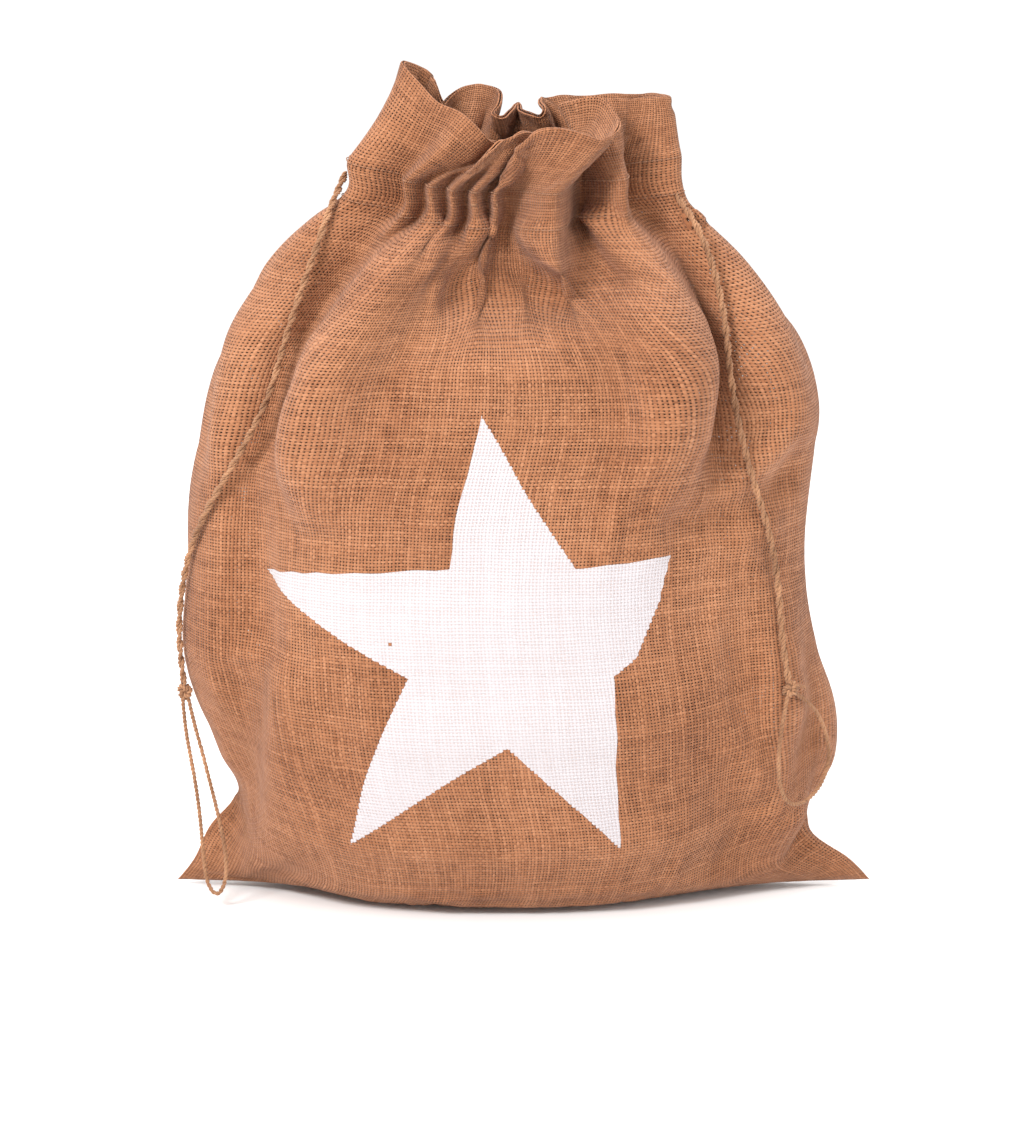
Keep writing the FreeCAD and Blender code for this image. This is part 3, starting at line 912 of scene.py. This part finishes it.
def boxStrip(name, base, inner):
    # a closed flat strip along two lines of points
    bm = bmesh.new()
    half = np.array([0, make["seamThick"] / 2, 0])
    rings = [[bm.verts.new(p) for p in (first - half, first + half, second + half, second - half)]
             for first, second in zip(base, inner)]
    for lower, upper in zip(rings, rings[1:]):
        for k in range(4):
            bm.faces.new((lower[k], lower[(k + 1) % 4], upper[(k + 1) % 4], upper[k]))
    bm.faces.new(reversed(rings[0]))
    bm.faces.new(rings[-1])
    bmesh.ops.recalc_face_normals(bm, faces=bm.faces)
    layer = bm.loops.layers.uv.new("cloth")
    for ringIndex, loopVerts in enumerate(rings):
        for k, vertex in enumerate(loopVerts):
            for loop in vertex.link_loops:
                loop[layer].uv = (k // 2 * make["seamWidth"] + 0.7 * mm, ringIndex * sack["spacing"] * mm)
    return toMesh(bm, name)


def seamStrip(name, starts, inward, width, node):
    inner = [start + inward * width for start in starts]
    addPiece(name, boxStrip(name, starts, inner), plainCloth, node)


for side, column, sign in (("left", 0, 1), ("right", halfCount, -1)):
    inward = np.array([sign, 0, 0])
    low, high = make["seamLevels"]
    starts = [settled[row, column] + inward * (make["cloth"] + 0.3 * mm)
              for row, level in enumerate(levels) if low <= level <= high]
    seamStrip(side + "SideSeam", starts, inward, make["seamWidth"], side + "_side_seam")
upward = np.array([0, 0, 1.0])
starts = [settled[0, column] + upward * (make["cloth"] + 0.4 * mm) for column in range(12, halfCount - 11)]
seamStrip("bottomSeam", starts, upward, make["seamWidth"] * 0.75, "bottom_seam")
frontFacing, backFacing = makeFacing(True), makeFacing(False)
makePanel(True, frontFacing)
makePanel(False, backFacing)
print("panels, facings and seams made")


# filling
def fillingCloth():
    n = Nodes("kraftFilling")
    place = n.node("TexCoord", ()).outputs["Object"]
    soft = n.noise(place, 30.0, 4.0, 0.6)
    colour = n.ramp(soft, [(0.3, filling["dark"]), (0.7, filling["light"])])
    n.finish(colour, 0.9)
    n.bump(n.noise(place, 160.0, 3.0), 0.6 * mm)
    return n.material


def makeFilling():
    bm = bmesh.new()
    bm.from_mesh(fillingMesh(filling["slack"]))
    bmesh.ops.triangulate(bm, faces=[f for f in bm.faces if len(f.verts) > 4])
    bmesh.ops.subdivide_edges(bm, edges=[e for e in bm.edges if e.calc_length() > 12 * mm], cuts=3,
                              use_grid_fill=True)
    for vertex in bm.verts:
        crease = noise.turbulence(vertex.co * 22, 3, False)
        vertex.co -= Vector((vertex.co.x, vertex.co.y * 1.5, 0)).normalized() * crease * 5 * mm
    bmesh.ops.recalc_face_normals(bm, faces=bm.faces)
    piece = addPiece("fillingBundle", toMesh(bm, "fillingBundle"), fillingCloth(), "filling")


makeFilling()
print("filling made")


# thread and twine
def twineMaterial(name, light, dark):
    n = Nodes(name)
    length, turn, _ = n.split(n.uv())
    fibre = n.noise(n.vector(n.times(length, 260.0), n.times(turn, 26.0)), 1.0, 4.0, 0.65)
    patch = n.noise(n.vector(n.times(length, 34.0), 0.0), 1.0, 2.0)
    tone = n.add(n.times(fibre, 0.65), n.times(patch, 0.45))
    n.finish(n.ramp(tone, [(0.36, dark), (0.72, light)]), 0.9, Specular_IOR_Level=0.25, Sheen_Weight=0.15)
    n.bump(fibre, 0.25 * mm)
    return n.material


twine = twineMaterial("juteTwine", (0.560, 0.290, 0.150), (0.080, 0.026, 0.009))
sewingThread = twineMaterial("sewingThread", (0.430, 0.215, 0.120), (0.250, 0.110, 0.055))


def framesAlong(points):
    # each point with its distance along the line and two directions across it
    normal, reach = None, 0.0
    for k, point in enumerate(points):
        tangent = (points[min(k + 1, len(points) - 1)] - points[max(k - 1, 0)]).normalized()
        if normal is None:
            normal = tangent.orthogonal().normalized()
        normal = (normal - tangent * normal.dot(tangent)).normalized()
        if k:
            reach += (point - points[k - 1]).length
        yield point, reach, normal, tangent.cross(normal)


def addTube(bm, layer, points, radius, sides):
    # a round tube along points, with how far along and how far round as its UV
    rings = []
    for k, (point, reach, first, second) in enumerate(framesAlong(points)):
        size = radius(k / max(1, len(points) - 1)) if callable(radius) else radius
        turns = [2 * math.pi * side / sides for side in range(sides)]
        rings.append(([bm.verts.new(point + (first * math.cos(t) + second * math.sin(t)) * size)
                       for t in turns], reach))
    for (lower, lowReach), (upper, highReach) in zip(rings, rings[1:]):
        for side in range(sides):
            following = (side + 1) % sides
            face = bm.faces.new((lower[side], lower[following], upper[following], upper[side]))
            start, end = side / sides, (side + 1) / sides
            corners = (lowReach, start), (lowReach, end), (highReach, end), (highReach, start)
            for loop, uv in zip(face.loops, corners):
                loop[layer].uv = uv
    bm.faces.new(list(reversed(rings[0][0])))
    bm.faces.new(rings[-1][0])


def tubeMesh(name, tubes):
    # tubes: (points, radius, sides) in turn
    bm = bmesh.new()
    layer = bm.loops.layers.uv.new("cloth")
    for points, radius, sides in tubes:
        addTube(bm, layer, points, radius, sides)
    bmesh.ops.recalc_face_normals(bm, faces=bm.faces)
    return toMesh(bm, name)


def wind(points, offset, pitch, turn=0.0, wobble=0.0, seed=0):
    # a line that winds round another at an offset
    wound = []
    for point, reach, normal, second in framesAlong(points):
        angle = turn + 2 * math.pi * reach / pitch
        angle += wobble * noise.noise(Vector((reach * 28, seed, 0.5)))
        wound.append(point + (normal * math.cos(angle) + second * math.sin(angle)) * offset)
    return wound


stitch = {
    "length": 3.4 * mm,
    "gap": 1.0 * mm,
    "radius": 0.32 * mm,
    "sides": 5,
    "places": (0.0, 0.18, 0.5, 0.82, 1.0),      # along a stitch, and the thread's lift there in mm
    "lifts": (-0.25, 0.25, 0.4, 0.25, -0.25),
}


def stitches(name, lines, node):
    # running stitches along lines of (point, outward direction)
    tubes = []
    for line in lines:
        places, outs = (np.array([tuple(pair[k]) for pair in line]) for k in (0, 1))
        reach = np.concatenate([[0], np.cumsum(np.linalg.norm(np.diff(places, axis=0), axis=1))])
        start = 0.0
        while start + stitch["length"] < reach[-1]:
            at = start + np.array(stitch["places"]) * stitch["length"]
            place, out = (np.stack([np.interp(at, reach, table[:, k]) for k in range(3)], axis=1)
                          for table in (places, outs))
            spots = place + out * np.array(stitch["lifts"])[:, None] * mm
            tubes.append(([Vector(p) for p in spots], stitch["radius"], stitch["sides"]))
            start += stitch["length"] + stitch["gap"]
    addPiece(name, tubeMesh(name, tubes), sewingThread, node)


def clothLine(level, columns):
    # points and outward normals along a level of the cloth
    at = level / levels[-1] * (rowCount - 1)
    low = int(at)
    t = at - low
    return [(settled[low, c] * (1 - t) + settled[low + 1, c] * t, normals[low, c]) for c in columns]


for front in (True, False):
    side = "front" if front else "back"
    columns = panelColumns(front)[1:-1]
    stitches(side + "ChannelStitching", [clothLine(level, columns) for level in make["channelLines"]],
             side + "_channel_stitching")
for side, column, sign in (("left", 0, 1), ("right", halfCount, -1)):
    line = []
    for row, level in enumerate(levels):
        if 60 <= level <= 470:
            spot = settled[row, column] + np.array([sign * 6.2 * mm, make["seamThick"] / 2, 0])
            line.append((spot, np.array([0, 1.0, 0])))
    stitches(side + "SeamStitching", [line], side + "_seam_stitching")
print("stitching made")


# drawcords
def lineLength(line):
    return sum((b - a).length for a, b in zip(line, line[1:]))


def twinePlies(line, seed):
    # two plies wound round each other make one twine
    rng = random.Random(seed)
    tubes = []
    turn = rng.uniform(0, 6)
    for ply in range(2):
        path = wind(line, rope["twine"] * 0.235, rope["plyPitch"], turn + math.pi * ply, 0.8, seed + ply)
        bulk = [rope["twine"] * (0.300 + 0.05 * noise.noise(Vector((k * 0.11, seed, ply))))
                for k in range(len(line) + 1)]
        tubes.append((path, lambda t, b=bulk: b[int(t * (len(b) - 1))], 7))
    return tubes


def looseFibres(line, reach, seed, share=1.0):
    rng = random.Random(seed)
    tubes = []
    count = int(lineLength(line) / mm * rope["hairs"] * share)
    for _ in range(count):
        k = rng.randrange(2, len(line) - 3)
        heading = (line[k + 1] - line[k]).normalized()
        out = heading.cross(Vector((rng.uniform(-1, 1), rng.uniform(-1, 1), rng.uniform(-1, 1)))).normalized()
        root = line[k] + out * reach * 0.55
        reachOut = rng.uniform(1.2, 3.6) * mm
        lean = heading * rng.choice((-1, 1)) * rng.uniform(0.6, 1.4)
        middle = root + (out * 0.42 + lean * 0.5) * reachOut * 0.5
        tip = root + (out * rng.uniform(0.35, 0.75) + lean) * reachOut * 0.62
        tubes.append(([root, middle, tip], lambda t: (0.055 - 0.035 * t) * mm, 3))
    return tubes


def addTwines(name, tubes, node, body="sack"):
    return addPiece(name, tubeMesh(name, tubes), twine, node, body)


def makeKnot(name, place, turn, stub, node, body):
    # an overhand knot drawn tight in the pair of twines
    steps = 150
    centre = Vector(place) * mm
    tubes = []
    for strand in range(2):
        path = []
        for k in range(steps):
            t = 2 * math.pi * k / steps
            wide = 2.15 + math.cos(3 * t) * 1.15
            spot = Vector((wide * math.cos(2 * t), math.sin(3 * t) * 1.7, wide * math.sin(2 * t) * 1.22))
            path.append(spot * mm)
        path.append(path[0].copy())
        path = evenly(path, 0.5 * mm)
        path = wind(path, 0.75 * mm, 9 * mm, math.pi * strand)
        for tube in twinePlies(path, 40 + strand + len(name)):
            tubes.append((tube[0], lambda t: 0.72 * mm, 7))
    turnBy = Matrix.Rotation(-math.radians(turn), 3, "Y")
    tubes = [([turnBy @ spot + centre for spot in points], size, sides) for points, size, sides in tubes]
    if stub:
        end = throughPoints([0, 1, 2, 3], rope["stub"], np.linspace(0, 2.999, 20))
        line = evenly([centre + Vector(p) * mm for p in end], 0.6 * mm)
        tubes += [(points, lambda t: (0.62 - 0.2 * t) * mm, 6) for points, _, _ in twinePlies(line, 77)]
    return addTwines(name, tubes, node, body)


def makeCord(side, s):
    body = side + "_tail"
    line = routes[side + "tail"]
    tubes = []
    for strand in range(2):
        path = wind(line, rope["pairApart"], rope["pairPitch"], math.pi * strand + 0.4, 1.2, 3)
        tubes += twinePlies(path, 11 + strand * 5 + len(side))
        tubes += looseFibres(path, rope["twine"] / 2, 90 + strand + len(side))
    tail = addTwines(side + "TailTwines", tubes, side + "_cord_tail", body)

    loopLine = routes[side + "loop"]
    tubes = twinePlies(loopLine, 23 + len(side)) + looseFibres(loopLine, rope["twine"] / 2, 31 + len(side))
    loop = addTwines(side + "LoopTwine", tubes, side + "_cord_loop", body)

    knot = makeKnot(side + "Knot", s["knot"], s["knotTurn"], side == "right", side + "_cord_knot", body)
    [v * mm for v in s["exit"]]
    lineLength(line)
    [v * mm for v in s["loop"][0]]
    lineLength(loopLine)

    # through the exit, on the part that a pull draws out
    low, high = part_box(side + "_cord_at_exit")
    middle = (Vector(low) + Vector(high)) / 2
    tubes = []
    for strand in (-1, 1):
        inner, outer = (high.x, low.x) if s["side"] < 0 else (low.x, high.x)
        ends = (inner, 1.45 * mm), (outer + s["side"] * 0.8 * mm, 1.3 * mm)
        straight = [Vector((x, middle.y + strand * aside, middle.z)) for x, aside in ends]
        tubes += twinePlies(evenly(straight, rope["step"]), 61 + strand)
    addTwines(side + "ExitTwines", tubes, side + "_cord_at_exit", side + "_drawcord")

    # round the neck inside the channel
    column = 0 if s["side"] < 0 else halfCount
    order = [(column + 3 + k) % columnCount for k in range(columnCount - 5)]
    ring = [Vector(p - n * (make["cloth"] + 1.25 * mm)) for p, n in clothLine(s["channelLevel"], order)]
    addTwines(side + "ChannelTwine", twinePlies(evenly(ring, 1.0 * mm), 71), side + "_cord_in_channel")


for side, values in cords.items():
    makeCord(side, values)
print("drawcords made")


# floor, backdrop and light
studio = {
    "floorSize": 9.0,
    "floor": (0.93, 0.93, 0.93),
    "sky": (1.0, 1.0, 1.0),
    "skyPower": 1.05,
    # place, size, power
    "lamps": [((-1.5, -1.9, 1.9), 0.8, 74), ((1.9, -1.5, 1.0), 1.6, 14), ((0.1, 0.4, 2.4), 1.2, 30)],
}


def makeStudio(s):
    bm = bmesh.new()
    bmesh.ops.create_grid(bm, x_segments=1, y_segments=1, size=s["floorSize"] / 2)
    floor = addObject("studioFloor", toMesh(bm, "studioFloor"))
    n = Nodes("paleFloor")
    n.finish((*s["floor"], 1.0), 0.8, Specular_IOR_Level=0.2)
    floor.data.materials.append(n.material)
    for place, size, power in s["lamps"]:
        data = bpy.data.lights.new("softLamp", "AREA")
        data.size, data.energy = size, power
        lamp = addObject("softLamp", data)
        lamp.location = place
        aim = Vector((0, 0, 0.22)) - Vector(place)
        lamp.rotation_mode = "QUATERNION"
        lamp.rotation_quaternion = aim.to_track_quat("-Z", "Y")
    world = bpy.data.worlds.new("studio")
    world.use_nodes = True
    background = world.node_tree.nodes["Background"]
    background.inputs["Color"].default_value = (*s["sky"], 1.0)
    background.inputs["Strength"].default_value = s["skyPower"]
    scene.world = world
    scene.view_settings.view_transform = "Standard"


makeStudio(studio)
print("studio made")
